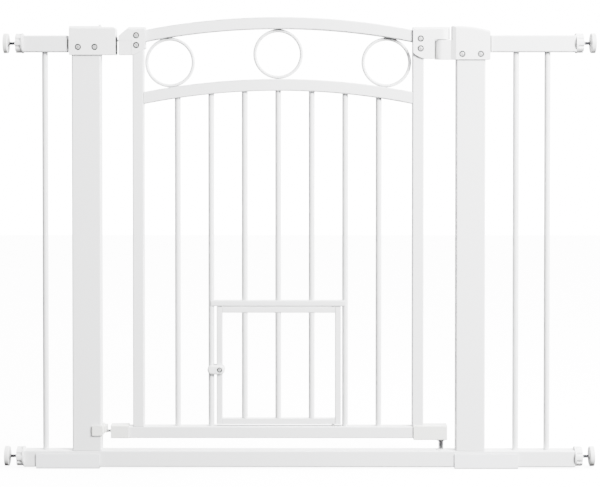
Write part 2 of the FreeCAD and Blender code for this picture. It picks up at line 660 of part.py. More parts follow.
def extension_rails(left, right):
    upper = tube_x(left, right, TOP_RAIL_TOP - RAIL_HEIGHT, TOP_RAIL_TOP, RAIL_DEPTH, TUBE_WALL, TUBE_RADIUS)
    lower = tube_x(left, right, BAR_BOTTOM, BAR_TOP, RAIL_DEPTH, TUBE_WALL, TUBE_RADIUS)
    return compound([upper, lower])


def left_extension_rails():
    return extension_rails(LEFT_RAIL_END, LEFT_JOINT)


def right_extension_rails():
    return extension_rails(RIGHT_JOINT, RIGHT_RAIL_END)


def extension_bars():
    bars = []
    places = [FRAME_LEFT - offset for offset in LEFT_BAR_OFFSETS]
    places += [FRAME_RIGHT + offset for offset in RIGHT_BAR_OFFSETS]
    for x in places:
        bars.append(rod_z(BAR_DIAMETER / 2, x, 0, BAR_TOP, TOP_RAIL_TOP - RAIL_HEIGHT))
    return compound(bars)


def tenon(x0, x1, middle_z):
    fit = 2 * TUBE_WALL
    half_y = (RAIL_DEPTH - fit) / 2
    half_z = (RAIL_HEIGHT - fit) / 2
    body = block(x0, x1, -half_y, half_y, middle_z - half_z, middle_z + half_z)
    return soften(body, vec(1, 0, 0), TUBE_RADIUS - TUBE_WALL)


def flange(x0, x1, middle_z):
    half_z = RAIL_HEIGHT / 2
    body = block(x0, x1, -HALF_POST, HALF_POST, middle_z - half_z, middle_z + half_z)
    return soften(body, vec(1, 0, 0), TUBE_RADIUS)


def upper_plug(side):
    """Plug from an upper extension rail to the post; side is -1 on the left."""
    joint = LEFT_JOINT if side < 0 else RIGHT_JOINT
    post_face = FRAME_LEFT if side < 0 else FRAME_RIGHT
    inside = joint + side * PLUG_TENON
    rim = joint - side * PLUG_FLANGE
    neck_z = RAIL_HEIGHT / 2 - PLUG_NECK_INSET
    neck_y = HALF_POST - PLUG_NECK_INSET
    neck = block(
        min(rim, post_face), max(rim, post_face),
        -neck_y, neck_y, TOP_RAIL_MID - neck_z, TOP_RAIL_MID + neck_z,
    )
    body = tenon(min(joint, inside), max(joint, inside), TOP_RAIL_MID)
    body = body.fuse(flange(min(joint, rim), max(joint, rim), TOP_RAIL_MID))
    return body.fuse(neck).removeSplitter()


def lower_plug(side):
    joint = LEFT_JOINT if side < 0 else RIGHT_JOINT
    rim = joint - side * PLUG_FLANGE
    middle = BAR_BOTTOM + RAIL_HEIGHT / 2
    body = tenon(joint - PLUG_TENON, joint + PLUG_TENON, middle)
    return body.fuse(flange(min(joint, rim), max(joint, rim), middle)).removeSplitter()


def extension_plugs():
    return compound([upper_plug(-1), upper_plug(1), lower_plug(-1), lower_plug(1)])


def rail_end_cap(side, middle_z, axis_z):
    end = LEFT_RAIL_END if side < 0 else RIGHT_RAIL_END
    outer = end + side * CAP_FLANGE
    inner = end - side * CAP_TENON
    body = tenon(min(end, inner), max(end, inner), middle_z)
    body = body.fuse(flange(min(end, outer), max(end, outer), middle_z)).removeSplitter()
    return body.cut(rod_x(SPINDLE_BORE_RADIUS, min(inner, outer) - 1, max(inner, outer) + 1, 0, axis_z))


def rail_end_caps():
    lower_mid = BAR_BOTTOM + RAIL_HEIGHT / 2
    caps = []
    for side in (-1, 1):
        caps.append(rail_end_cap(side, TOP_RAIL_MID, UPPER_SPINDLE_Z))
        caps.append(rail_end_cap(side, lower_mid, LOWER_SPINDLE_Z))
    return compound(caps)


def spindle_points(side):
    end = LEFT_RAIL_END if side < 0 else RIGHT_RAIL_END
    return end, end + side * PAD_REACH


def spindle_rod(side, axis_z):
    end, face = spindle_points(side)
    pad_inner = face - side * PAD_THICKNESS
    return rod(
        SPINDLE_DIAMETER / 2,
        vec(end - side * SPINDLE_INSIDE, 0, axis_z),
        vec(pad_inner + side * PAD_SOCKET_DEPTH, 0, axis_z),
    )


def wall_pad(side, axis_z):
    end, face = spindle_points(side)
    inner = face - side * PAD_THICKNESS
    body = rod(PAD_DIAMETER / 2, vec(inner, 0, axis_z), vec(face, 0, axis_z))
    rims = [edge for edge in body.Edges if isinstance(edge.Curve, Part.Circle)]
    inner_rims = [edge for edge in rims if abs(edge.CenterOfMass.x - inner) < 0.01]
    body = body.makeFillet(1.2, inner_rims)
    hub_end = inner - side * PAD_HUB_LENGTH
    hub = rod(SPINDLE_DIAMETER / 2 + PAD_HUB_WALL, vec(hub_end, 0, axis_z), vec(inner, 0, axis_z))
    socket_end = inner + side * PAD_SOCKET_DEPTH
    socket = rod(SPINDLE_DIAMETER / 2, vec(hub_end - side, 0, axis_z), vec(socket_end, 0, axis_z))
    return body.fuse(hub).removeSplitter().cut(socket)


def hand_nut(side, axis_z):
    end, face = spindle_points(side)
    seat = end + side * CAP_FLANGE
    flange_end = seat + side * NUT_FLANGE
    tip = flange_end + side * NUT_LENGTH
    body = rod(NUT_DIAMETER / 2, vec(flange_end, 0, axis_z), vec(tip, 0, axis_z))
    radius = NUT_DIAMETER / 2 + SCALLOP_RADIUS * 0.45
    for index in range(NUT_SCALLOPS):
        angle = 2 * math.pi * (index + 0.5) / NUT_SCALLOPS
        y = radius * math.cos(angle)
        z = axis_z + radius * math.sin(angle)
        body = body.cut(rod(SCALLOP_RADIUS, vec(flange_end, y, z), vec(tip + side, y, z)))
    rim = rod(NUT_DIAMETER / 2 + NUT_RIM_LIP, vec(seat, 0, axis_z), vec(flange_end, 0, axis_z))
    bore = rod(
        SPINDLE_DIAMETER / 2 + RUNNING_CLEARANCE,
        vec(seat - side, 0, axis_z), vec(tip + side, 0, axis_z),
    )
    return body.fuse(rim).removeSplitter().cut(bore)


def upper_hinge_pin():
    return rod_z(HINGE_PIN_RADIUS, HINGE_X, 0, UPPER_PIN_BOTTOM, UPPER_PIN_TOP)


def hinge_washer():
    washer = rod_z(WASHER_DIAMETER / 2, HINGE_X, 0, SHELF_TOP, ARM_BOTTOM)
    return washer.cut(rod_z(HINGE_PIN_RADIUS, HINGE_X, 0, SHELF_TOP - 1, ARM_BOTTOM + 1))


def lower_hinge_pin():
    bottom = BAR_BOTTOM + TUBE_WALL + 4.5
    pin = rod_z(HINGE_PIN_RADIUS, HINGE_X, 0, bottom, LOWER_PIN_TOP)
    collar = rod_z(COLLAR_DIAMETER / 2, HINGE_X, 0, SLEEVE_BOTTOM - COLLAR_HEIGHT, SLEEVE_BOTTOM)
    return pin.fuse(collar).removeSplitter()


def stile_section(x0, x1):
    """Solid of a stile's outside, used to cut the seats that it fits."""
    return bar_section_z(x0, x1, DOOR_RAIL_TOP, STILE_TOP, DOOR_DEPTH, DOOR_RADIUS)


def stile(x0, x1):
    return tube_z(x0, x1, DOOR_RAIL_TOP, STILE_TOP, DOOR_DEPTH, DOOR_WALL, DOOR_RADIUS)


def left_stile():
    return drill_tube(stile(DOOR_LEFT, LEFT_STILE_INNER), LATCH_HEAD_SCREWS, HALF_DOOR)


def right_stile():
    return drill_tube(stile(RIGHT_STILE_INNER, DOOR_RIGHT), HINGE_HEAD_SCREWS, HALF_DOOR)


def pet_hinge_hole(bottom, top):
    return rod_z(PET_PIN_DIAMETER / 2 + RUNNING_CLEARANCE, PET_HINGE_X, 0, bottom, top)


def door_bottom_rail():
    rail = tube_x(
        LATCH_SLEEVE_RIGHT, DOOR_RAIL_RIGHT, DOOR_BOTTOM, DOOR_RAIL_TOP,
        DOOR_DEPTH, DOOR_WALL, DOOR_RADIUS,
    )
    return rail.cut(pet_hinge_hole(DOOR_RAIL_MID, DOOR_RAIL_TOP + 1))


def arch_strip(top, shrink, half_depth, extra):
    """Curved strip between the stiles whose outer edge peaks at top."""
    centre = vec(DOOR_MIDDLE, 0, top - ARCH_RADIUS)
    outer = rod_y(ARCH_RADIUS - shrink, centre.x, -half_depth, half_depth, centre.z)
    inner = rod_y(ARCH_RADIUS - ARCH_HEIGHT + shrink, centre.x, -half_depth - 1, half_depth + 1, centre.z)
    window = block(
        LEFT_STILE_INNER - extra, RIGHT_STILE_INNER + extra,
        -half_depth, half_depth, top - 4 * ARCH_HEIGHT, top + 1,
    )
    return outer.cut(inner).common(window)


def arch(top):
    outer = arch_strip(top, 0, HALF_DOOR, 0)
    curved = [edge for edge in outer.Edges if isinstance(edge.Curve, Part.Circle)]
    outer = outer.makeFillet(DOOR_RADIUS, curved)
    hollow = arch_strip(top, DOOR_WALL, HALF_DOOR - DOOR_WALL, 1.0)
    return outer, outer.cut(hollow)


def upper_arch():
    return cut_rings(arch(GATE_HEIGHT)[1])


def lower_arch():
    return cut_rings(arch(GATE_HEIGHT - ARCH_SPACING)[1])


def cut_rings(shape):
    for offset in (-RING_OFFSET, 0, RING_OFFSET):
        shape = shape.cut(ring(offset))
    return shape


def ring(offset):
    drop = ARCH_RADIUS - math.sqrt(ARCH_RADIUS ** 2 - offset ** 2)
    middle = GATE_HEIGHT - ARCH_HEIGHT - (ARCH_SPACING - ARCH_HEIGHT) / 2 - drop
    radius = (RING_DIAMETER - RING_WIRE) / 2
    return Part.makeTorus(radius, RING_WIRE / 2, vec(DOOR_MIDDLE + offset, 0, middle), vec(0, 1, 0))


def bar_x(index):
    return DOOR_MIDDLE + index * BAR_PITCH


def door_bars(indexes, bottom):
    lower_arch_solid = arch(GATE_HEIGHT - ARCH_SPACING)[0]
    bars = []
    for index in indexes:
        bar = rod_z(BAR_DIAMETER / 2, bar_x(index), 0, bottom, GATE_HEIGHT - ARCH_SPACING - ARCH_HEIGHT / 2)
        trimmed = bar.cut(lower_arch_solid)
        bars.append(min(trimmed.Solids, key=lambda solid: solid.BoundBox.ZMin))
    return compound(bars)


def bar_indexes(first, last):
    """Bars counted outwards from the middle one, on both sides of it."""
    return [index for index in range(-last, last + 1) if abs(index) >= first]


def long_bars():
    return door_bars(bar_indexes(PET_FRAME_BAR, BARS_EACH_SIDE), DOOR_RAIL_TOP)


def short_bars():
    return door_bars(bar_indexes(0, PET_BARS_EACH_SIDE), HEADER_TOP)


def header_rail():
    half = HEADER_DEPTH / 2
    rail = block(bar_x(-PET_FRAME_BAR), bar_x(PET_FRAME_BAR), -half, half, HEADER_BOTTOM, HEADER_TOP)
    rail = soften(rail, vec(1, 0, 0), DOOR_RADIUS)
    for index in (-PET_FRAME_BAR, PET_FRAME_BAR):
        rail = rail.cut(rod_z(BAR_DIAMETER / 2, bar_x(index), 0, HEADER_BOTTOM - 1, HEADER_TOP + 1))
    rail = max(rail.Solids, key=lambda solid: solid.Volume)
    return rail.cut(pet_hinge_hole(HEADER_BOTTOM - 1, HEADER_BOTTOM + PET_PIN_GRIP - 1.0))


def latch_head():
    points = [
        (LATCH_HEAD_LEFT, HEAD_BOTTOM),
        (DOOR_LEFT + 2.5, HEAD_BOTTOM),
        (LATCH_HEAD_RIGHT, HEAD_BOTTOM + 11.0),
        (LATCH_HEAD_RIGHT, DOOR_HEAD_TOP),
        (LATCH_HEAD_LEFT + 17.0, DOOR_HEAD_TOP),
        (LATCH_HEAD_LEFT, DOOR_HEAD_TOP - 15.0),
    ]
    face = outline(points)
    core = bevel_top(prism(face, HALF_DOOR_HEAD), HALF_DOOR_HEAD, DOOR_HEAD_TOP, HEAD_BEVEL - 0.4)
    cavity = prism(face.makeOffset2D(-HEAD_WALL), HALF_DOOR)
    slot_top = NOSE_MID + NOSE_HEIGHT / 2 + 0.6
    nose_slot = block(
        LATCH_HEAD_LEFT - 1, LATCH_HEAD_LEFT + HEAD_WALL + 1,
        -NOSE_SLOT_HALF - 0.2, NOSE_SLOT_HALF + 0.2,
        slot_top - NOSE_HEIGHT - DOOR_LIFT - 1.0, slot_top,
    )
    stile_bar = stile_section(DOOR_LEFT, LEFT_STILE_INNER)
    ledge = block(
        LATCH_HEAD_LEFT - 1, DOOR_LEFT - 1.0,
        -HALF_DOOR_HEAD - 1, -HALF_DOOR_HEAD + LEDGE_DEPTH,
        HEAD_BOTTOM - 1, HEAD_BOTTOM + LEDGE_HEIGHT,
    )
    head = core.cut(cavity).cut(stile_bar).cut(nose_slot).cut(ledge).cut(arch(GATE_HEIGHT)[0])
    return drill_for_screws(head, LATCH_HEAD_SCREWS, HALF_DOOR_HEAD)


def hinge_head():
    left = RIGHT_STILE_INNER + 0.7
    body_right = HINGE_X - HINGE_BODY_GAP
    bottom = HEAD_BOTTOM - 6.2
    curve_x = DOOR_RIGHT + 1.0
    curve_z = bottom + 10.0
    arm_end = HINGE_X + HALF_DOOR_HEAD
    sag = vec((left + curve_x) / 2 - 1.0, 0, (bottom + curve_z) / 2 - 1.4)
    edges = [
        Part.Arc(vec(left, 0, curve_z), sag, vec(curve_x, 0, bottom)).toShape(),
        Part.makeLine(vec(curve_x, 0, bottom), vec(body_right, 0, bottom)),
        Part.makeLine(vec(body_right, 0, bottom), vec(body_right, 0, ARM_BOTTOM)),
        Part.makeLine(vec(body_right, 0, ARM_BOTTOM), vec(arm_end, 0, ARM_BOTTOM)),
        Part.makeLine(vec(arm_end, 0, ARM_BOTTOM), vec(arm_end, 0, DOOR_HEAD_TOP)),
        Part.makeLine(vec(arm_end, 0, DOOR_HEAD_TOP), vec(left, 0, DOOR_HEAD_TOP)),
        Part.makeLine(vec(left, 0, DOOR_HEAD_TOP), vec(left, 0, curve_z)),
    ]
    core = prism(Part.Face(Part.Wire(edges)), HALF_DOOR_HEAD)
    low = bottom - 1
    high = DOOR_HEAD_TOP + 1
    plan = block(left, HINGE_X, -HALF_DOOR_HEAD, HALF_DOOR_HEAD, low, high)
    plan = plan.fuse(rod_z(HALF_DOOR_HEAD, HINGE_X, 0, low, high)).removeSplitter()
    core = bevel_top(core.common(plan), HALF_DOOR_HEAD, DOOR_HEAD_TOP, HEAD_BEVEL - 0.4)
    cavity = block(
        left + HEAD_WALL, body_right - HEAD_WALL,
        -HALF_DOOR, HALF_DOOR, curve_z + HEAD_WALL, DOOR_HEAD_TOP - HEAD_WALL,
    )
    stile_bar = stile_section(RIGHT_STILE_INNER, DOOR_RIGHT)
    bore = rod_z(HINGE_BORE_RADIUS, HINGE_X, 0, ARM_BOTTOM - 1, UPPER_PIN_TOP + PIN_END_GAP)
    head = core.cut(cavity).cut(stile_bar).cut(bore).cut(arch(GATE_HEIGHT)[0])
    return drill_for_screws(head, HINGE_HEAD_SCREWS, HALF_DOOR_HEAD)


def door_head_screws():
    return compound([screw(x, z, HALF_DOOR_HEAD) for x, z in LATCH_HEAD_SCREWS + HINGE_HEAD_SCREWS])


def lower_latch_sleeve():
    body = block(
        LATCH_SLEEVE_LEFT, LATCH_SLEEVE_RIGHT,
        -HALF_DOOR - SLEEVE_WALL, HALF_DOOR + SLEEVE_WALL, DOOR_BOTTOM, DOOR_RAIL_TOP + SLEEVE_WALL,
    )
    body = soften(body, vec(1, 0, 0), DOOR_RADIUS)
    half_y = HALF_DOOR - DOOR_WALL
    inside = block(
        LATCH_SLEEVE_RIGHT, LATCH_SLEEVE_RIGHT + LATCH_TONGUE,
        -half_y, half_y, DOOR_BOTTOM + DOOR_WALL, DOOR_RAIL_TOP - DOOR_WALL,
    )
    inside = soften(inside, vec(1, 0, 0), DOOR_RADIUS - DOOR_WALL)
    body = body.fuse(inside).removeSplitter()
    return body.cut(rod_x(LATCH_PIN_DIAMETER / 2, LATCH_SLEEVE_LEFT - 1, LATCH_PIN_INNER, 0, LATCH_PIN_Z))


def latch_pin():
    tip = LEFT_POST_INNER + CATCH_WALL + 2.0
    return rod_x(LATCH_PIN_DIAMETER / 2, tip, LATCH_PIN_INNER, 0, LATCH_PIN_Z)


def lower_hinge_sleeve():
    body = block(
        HINGE_SLEEVE_LEFT, HINGE_SLEEVE_RIGHT,
        -HALF_DOOR - SLEEVE_WALL, HALF_DOOR + SLEEVE_WALL, SLEEVE_BOTTOM, DOOR_RAIL_TOP + SLEEVE_WALL,
    )
    body = soften(body, vec(1, 0, 0), DOOR_RADIUS)
    rail = soften(
        block(LATCH_SLEEVE_RIGHT, DOOR_RAIL_RIGHT, -HALF_DOOR, HALF_DOOR, DOOR_BOTTOM, DOOR_RAIL_TOP),
        vec(1, 0, 0), DOOR_RADIUS,
    )
    stile_bar = stile_section(RIGHT_STILE_INNER, DOOR_RIGHT)
    bore = rod_z(HINGE_BORE_RADIUS, HINGE_X, 0, SLEEVE_BOTTOM - 1, LOWER_PIN_TOP + PIN_END_GAP)
    return body.cut(rail).cut(stile_bar).cut(bore)


def pet_stiles():
    half = PET_TUBE / 2
    stiles = []
    for x0 in (PET_LEFT, PET_RIGHT - PET_TUBE):
        body = block(x0, x0 + PET_TUBE, -half, half, PET_BOTTOM, PET_TOP)
        stiles.append(soften(body, vec(0, 0, 1), PET_CORNER_RADIUS))
    hole_radius = PET_SCREW_RADIUS + RUNNING_CLEARANCE
    stiles[0] = stiles[0].cut(rod_y(hole_radius, PET_PIVOT_X, -half - 1, half + 1, PET_LATCH_HEIGHT))
    return compound(stiles)


def pet_rails():
    half = PET_TUBE / 2
    rails = []
    for z0 in (PET_BOTTOM, PET_TOP - PET_TUBE):
        body = block(PET_LEFT + PET_TUBE, PET_RIGHT - PET_TUBE, -half, half, z0, z0 + PET_TUBE)
        body = soften(body, vec(1, 0, 0), PET_CORNER_RADIUS)
        rails.append(body.cut(rod_z(PET_PIN_DIAMETER / 2, PET_HINGE_X, 0, z0 - 1, z0 + PET_TUBE + 1)))
    return compound(rails)


def pet_bars():
    bars = []
    for index in bar_indexes(0, PET_BARS_EACH_SIDE):
        bars.append(rod_z(BAR_DIAMETER / 2, bar_x(index), 0, PET_BOTTOM + PET_TUBE, PET_TOP - PET_TUBE))
    return compound(bars)


def pet_hinge_pins():
    radius = PET_PIN_DIAMETER / 2
    lower = rod_z(radius, PET_HINGE_X, 0, DOOR_RAIL_TOP - 4.0, PET_BOTTOM + PET_TUBE)
    upper = rod_z(radius, PET_HINGE_X, 0, PET_TOP - PET_TUBE, HEADER_BOTTOM + PET_PIN_GRIP - 2.0)
    return compound([lower, upper])


def pet_latch_plate(y0, y1):
    radius = PET_LATCH_WIDTH / 2
    right = PET_PIVOT_X + PET_LATCH_TAIL - radius
    left = right - (PET_LATCH_LENGTH - PET_LATCH_WIDTH)
    body = rod_y(radius, left, y0, y1, PET_LATCH_HEIGHT)
    body = body.fuse(rod_y(radius, right, y0, y1, PET_LATCH_HEIGHT))
    body = body.fuse(block(left, right, y0, y1, PET_LATCH_HEIGHT - radius, PET_LATCH_HEIGHT + radius))
    return body.removeSplitter()


def dome(plate, outer_y):
    """Round over the rim of a latch plate on its outer face."""
    rim = []
    for edge in plate.Edges:
        if abs(edge.CenterOfMass.y - outer_y) < 0.01 and edge.BoundBox.YLength < 0.01:
            rim.append(edge)
    return plate.makeFillet(PET_LATCH_DOME, rim)


def pet_latch_front():
    plate = dome(pet_latch_plate(-PET_PLATE_OUTER, -PET_PLATE_INNER), -PET_PLATE_OUTER)
    recess_end = -PET_PLATE_OUTER + PET_RECESS_DEPTH
    recess = rod_y(PET_SCREW_RECESS / 2, PET_PIVOT_X, -PET_PLATE_OUTER - 1, recess_end, PET_LATCH_HEIGHT)
    return plate.cut(recess).cut(rod_y(PET_SCREW_RADIUS, PET_PIVOT_X, -20, 0, PET_LATCH_HEIGHT))


def pet_latch_rear():
    plate = dome(pet_latch_plate(PET_PLATE_INNER, PET_PLATE_OUTER), PET_PLATE_OUTER)
    return plate.cut(rod_y(PET_SCREW_RADIUS, PET_PIVOT_X, 0, PET_PLATE_OUTER - 1.0, PET_LATCH_HEIGHT))


def pet_latch_screw():
    head_end = -PET_PLATE_OUTER + PET_RECESS_DEPTH
    head_start = head_end - PET_RECESS_DEPTH + 0.6
    body = rod_y(PET_SCREW_HEAD / 2, PET_PIVOT_X, head_start, head_end, PET_LATCH_HEIGHT)
    tip = PET_PLATE_OUTER - 1.0
    body = body.fuse(rod_y(PET_SCREW_RADIUS, PET_PIVOT_X, head_end, tip, PET_LATCH_HEIGHT))
    return body.cut(cross_slot(PET_PIVOT_X, PET_LATCH_HEIGHT, head_start, PET_SCREW_HEAD))


def all_nodes():
    left_head = left_post_head()
    right_head = right_post_head()
    latch = latch_head()
    hinge = hinge_head()
    nodes = {
        "bottom_bar": bottom_bar(),
        "left_post": left_post(),
        "right_post": right_post(),
        "left_post_head_front": front_half(left_head),
        "left_post_head_rear": rear_half(left_head),
        "right_post_head_front": front_half(right_head),
        "right_post_head_rear": rear_half(right_head),
        "post_head_screws": post_head_screws(),
        "closing_buffer": closing_buffer(),
        "bottom_catch": bottom_catch(),
        "lower_hinge_bush": lower_hinge_bush(),
        "joint_brackets": joint_brackets(),
        "left_extension_rails": left_extension_rails(),
        "right_extension_rails": right_extension_rails(),
        "extension_bars": extension_bars(),
        "extension_plugs": extension_plugs(),
        "rail_end_caps": rail_end_caps(),
        "lock_slider": lock_slider(),
        "lock_spring": lock_spring(),
        "upper_hinge_pin": upper_hinge_pin(),
        "hinge_washer": hinge_washer(),
        "lower_hinge_pin": lower_hinge_pin(),
        "left_stile": left_stile(),
        "right_stile": right_stile(),
        "door_bottom_rail": door_bottom_rail(),
        "upper_arch": upper_arch(),
        "lower_arch": lower_arch(),
        "left_ring": ring(-RING_OFFSET),
        "middle_ring": ring(0),
        "right_ring": ring(RING_OFFSET),
        "long_bars": long_bars(),
        "short_bars": short_bars(),
        "header_rail": header_rail(),
        "latch_head_front": front_half(latch),
        "latch_head_rear": rear_half(latch),
        "hinge_head_front": front_half(hinge),
        "hinge_head_rear": rear_half(hinge),
        "door_head_screws": door_head_screws(),
        "lower_latch_sleeve": lower_latch_sleeve(),
        "latch_pin": latch_pin(),
        "lower_hinge_sleeve": lower_hinge_sleeve(),
        "pet_stiles": pet_stiles(),
        "pet_rails": pet_rails(),
        "pet_bars": pet_bars(),
        "pet_hinge_pins": pet_hinge_pins(),
        "pet_latch_front": pet_latch_front(),
        "pet_latch_rear": pet_latch_rear(),
        "pet_latch_screw": pet_latch_screw(),
    }
    for height, axis_z in (("upper", UPPER_SPINDLE_Z), ("lower", LOWER_SPINDLE_Z)):
        for name, side in (("left", -1), ("right", 1)):
            nodes[height + "_" + name + "_rod"] = spindle_rod(side, axis_z)
            nodes[height + "_" + name + "_pad"] = wall_pad(side, axis_z)
            nodes[height + "_" + name + "_nut"] = hand_nut(side, axis_z)
    return nodes


def main():
    os.makedirs("parts", exist_ok=True)
    for name, shape in all_nodes().items():
        shape.exportStep(os.path.join("parts", name + ".step"))
        print(name, len(shape.Solids), round(shape.Volume), shape.isValid())


main()
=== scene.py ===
import json
import math

import bmesh
import bpy
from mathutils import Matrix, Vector


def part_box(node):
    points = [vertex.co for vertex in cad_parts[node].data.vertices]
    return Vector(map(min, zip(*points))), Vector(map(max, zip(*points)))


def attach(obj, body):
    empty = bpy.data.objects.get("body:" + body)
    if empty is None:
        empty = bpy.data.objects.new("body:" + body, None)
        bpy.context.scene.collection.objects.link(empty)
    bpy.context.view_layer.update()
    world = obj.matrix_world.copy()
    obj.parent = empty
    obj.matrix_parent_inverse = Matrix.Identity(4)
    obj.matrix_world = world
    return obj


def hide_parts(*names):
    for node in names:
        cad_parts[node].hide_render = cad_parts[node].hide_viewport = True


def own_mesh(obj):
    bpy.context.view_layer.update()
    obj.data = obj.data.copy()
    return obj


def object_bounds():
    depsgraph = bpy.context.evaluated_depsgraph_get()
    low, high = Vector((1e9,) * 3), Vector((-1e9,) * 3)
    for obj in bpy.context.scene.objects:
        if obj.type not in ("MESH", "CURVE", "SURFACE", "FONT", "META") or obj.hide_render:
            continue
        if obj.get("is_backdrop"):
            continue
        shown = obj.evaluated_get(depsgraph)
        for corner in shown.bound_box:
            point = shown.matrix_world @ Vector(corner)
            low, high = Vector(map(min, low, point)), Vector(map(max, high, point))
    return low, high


# A white pressure-fit safety gate, shown from the front as in a catalogue shot.
# The frame gives every place and size; lengths are in metres.

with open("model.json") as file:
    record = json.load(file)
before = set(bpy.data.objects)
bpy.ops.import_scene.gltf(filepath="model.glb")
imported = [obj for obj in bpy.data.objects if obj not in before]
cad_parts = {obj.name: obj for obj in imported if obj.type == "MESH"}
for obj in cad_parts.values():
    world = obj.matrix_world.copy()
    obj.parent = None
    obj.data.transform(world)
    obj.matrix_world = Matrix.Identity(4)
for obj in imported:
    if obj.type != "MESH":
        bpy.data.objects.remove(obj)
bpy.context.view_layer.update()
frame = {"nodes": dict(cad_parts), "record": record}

MM = 0.001

# Paint and plastic
PAINT_COLOUR = (0.86, 0.865, 0.87)
BRACKET_COLOUR = (0.93, 0.94, 0.96)
PLASTIC_COLOUR = (0.93, 0.932, 0.932)
PAD_COLOUR = (0.80, 0.80, 0.795)
WARM_COLOUR = (0.84, 0.845, 0.81)
# Black rubber buffer in the latch gap; its black also stands in as painted shade of that narrow gap
BUFFER_AND_GAP_SHADE_COLOUR = (0.03, 0.03, 0.03)
FLOOR_COLOUR = (0.93, 0.93, 0.93)

# The part of a noise texture's range that is spread over a colour or a roughness
NOISE_LOW = 0.3
NOISE_HIGH = 0.7

# Painted shade: how far and how much seams and recesses are darkened in the colour; the pads reach far
# enough to shade their faces next to the nuts
PAINT_SHADE_REACH = 10 * MM
PLASTIC_SHADE_REACH = 7 * MM
PAD_SHADE_REACH = 35 * MM
SHADE_SAMPLES = 8
SHADE_CLOSED = 0.15
SHADE_OPEN = 0.7
SHADE_DARKEST = 0.22

# Steel: bright screw heads, pins and threaded rods, and the black of the rings around the screw heads,
# which are painted shadow of their recesses
SCREW_COLOUR = (0.62, 0.62, 0.62)
PIN_COLOUR = (0.42, 0.42, 0.43)
ROD_COLOUR = (0.045, 0.045, 0.05)
SHADOW_RING_COLOUR = (0.01, 0.01, 0.01)
EVEN_MARKS = (1.0, 1.0, 1.0)
MARKS_ALONG_X = (0.2, 1.0, 1.0)
MARKS_ALONG_Z = (1.0, 1.0, 0.2)

# Screws, and the black rings of painted shadow in the recesses around them
HEAD_SCREW_HEIGHT = 1.7 * MM
HEAD_SHADOW_RING_RADIUS = 5.3 * MM
LATCH_SCREW_HEIGHT = 2.0 * MM
LATCH_SHADOW_RING_RADIUS = 4.4 * MM
RING_THICKNESS = 0.35 * MM
RING_GAP = 0.1 * MM
RING_LIFT = 0.025 * MM
SCREW_SIDES = 64
DOME_RINGS = 14
DOME_DROP = 0.45 * MM
DOME_SHARE = 0.96
RIM_DROP = 1.5 * DOME_DROP
SHANK_SHARE = 0.5
TIP_SHARE = 0.2
CROSS_ARM_SHARE = 0.56
CROSS_HALF_WIDTH = 0.5 * MM
CROSS_DEPTH = 0.9 * MM

# Lock spring
SPRING_TURNS = 10
SPRING_WIRE_RADIUS = 0.4 * MM
SPRING_STEPS_PER_TURN = 24
SPRING_WIRE_SIDES = 10

# Edges that turn by more than these angles stay sharp
SCREW_SHARP = math.radians(35)
SPRING_SHARP = math.radians(60)
THREAD_SHARP = math.radians(40)

# Threaded rods
THREAD_PITCH = 1.5 * MM
THREAD_DEPTH = 0.5 * MM
THREAD_SIDES = 28
STEPS_PER_PITCH = 6
ROD_END_SHARE = 0.9

# Studio light
DOME_LEVEL = -2.4
DOME_SLOPE = (5.85, 6.2, 9.3)
DOME_DARKEST = 0.3
KEY_PLACE = (1.69, -1.58, 1.64)
KEY_SIZE = (0.8, 0.8)
KEY_POWER = 480
KEY_TARGET = (0, 0, 0.4)
FLOOR_GLOW = 9.5
WALL_GLOW = 15.0

# Floor and backdrop
STAGE_HALF_WIDTH = 8.0
FLOOR_FRONT = -8.0
BEND_START = 5.0
BEND_RADIUS = 1.5
BEND_STEPS = 16
WALL_TOP = 6.0

# Camera, fitted to the gate
CAMERA_DISTANCE = 2.71166
CAMERA_HEIGHT = 0.6079
CAMERA_SIDE = -0.0057
CAMERA_LENS = 96.33
CAMERA_PITCH = math.radians(-1.096)
CAMERA_YAW = math.radians(0.213)
SENSOR_WIDTH = 36.0
SHIFT_X = 0.0167
SHIFT_Y = -0.1736


def socket(node, name, value):
    node.inputs[name].default_value = value


def new_material(name):
    """Material with one Principled shader; returns it with its node tree and shader."""
    material = bpy.data.materials.new(name)
    material.use_nodes = True
    tree = material.node_tree
    shader = tree.nodes["Principled BSDF"]
    return material, tree, shader


def add_noise(tree, scale, detail, roughness):
    coordinates = tree.nodes.new("ShaderNodeTexCoord")
    noise = tree.nodes.new("ShaderNodeTexNoise")
    socket(noise, "Scale", scale)
    socket(noise, "Detail", detail)
    socket(noise, "Roughness", roughness)
    tree.links.new(coordinates.outputs["Object"], noise.inputs["Vector"])
    return noise


def add_bump(tree, shader, height, strength, distance):
    bump = tree.nodes.new("ShaderNodeBump")
    socket(bump, "Strength", strength)
    socket(bump, "Distance", distance)
    tree.links.new(height, bump.inputs["Height"])
    tree.links.new(bump.outputs["Normal"], shader.inputs["Normal"])


def add_ramp(tree, source, target, low, high):
    """Map a 0..1 factor onto a colour range between low and high."""
    ramp = tree.nodes.new("ShaderNodeValToRGB")
    ramp.color_ramp.elements[0].position = NOISE_LOW
    ramp.color_ramp.elements[1].position = NOISE_HIGH
    ramp.color_ramp.elements[0].color = (*low, 1)
    ramp.color_ramp.elements[1].color = (*high, 1)
    tree.links.new(source, ramp.inputs["Fac"])
    tree.links.new(ramp.outputs["Color"], target)


def add_range(tree, source, target, low, high):
    """Map a 0..1 factor onto a number between low and high."""
    remap = tree.nodes.new("ShaderNodeMapRange")
    socket(remap, "From Min", NOISE_LOW)
    socket(remap, "From Max", NOISE_HIGH)
    socket(remap, "To Min", low)
    socket(remap, "To Max", high)
    tree.links.new(source, remap.inputs["Value"])
    tree.links.new(remap.outputs["Result"], target)


def shade(colour, factor):
    """The same colour, darker by a factor."""
    return tuple(channel * factor for channel in colour)


